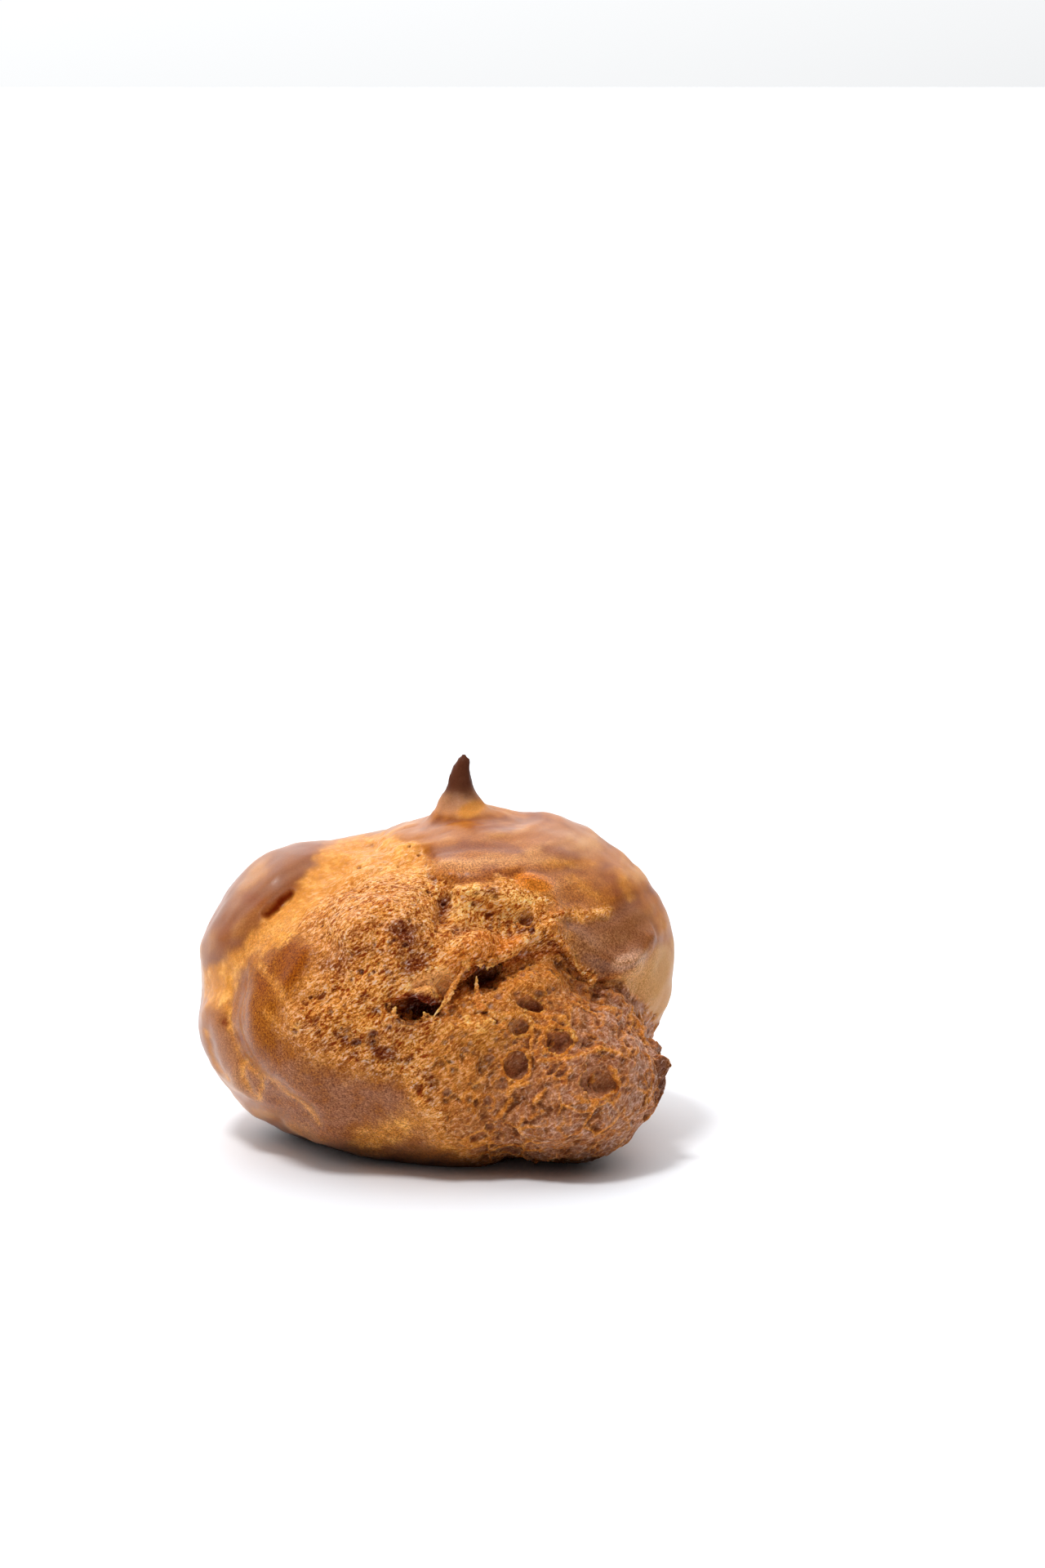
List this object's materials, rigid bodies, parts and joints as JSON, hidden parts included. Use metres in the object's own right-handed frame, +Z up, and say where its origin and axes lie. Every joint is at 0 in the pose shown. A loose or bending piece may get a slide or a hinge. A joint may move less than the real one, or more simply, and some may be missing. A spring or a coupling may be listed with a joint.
{
  "type": "gougere",
  "caption": "Baked choux cheese puff with billowed glossy rolls, a piped peak on its crown and a burst, craggy front with torn holes and bubbles; stands on a flat foot.",
  "frame": {"origin": "middle of the foot, at the bottom centre of the bounding box", "axes": "+Z up along the peak, +X to the right of the burst front, -Y out of the burst front"},
  "size_m": [0.0598, 0.0582, 0.0483],
  "materials": {
    "crust": "baked crust, glossy where egg washed and rough where burst"
  },
  "bodies": {
    "root": {"gougere": "crust"}
  },
  "joints": []
}
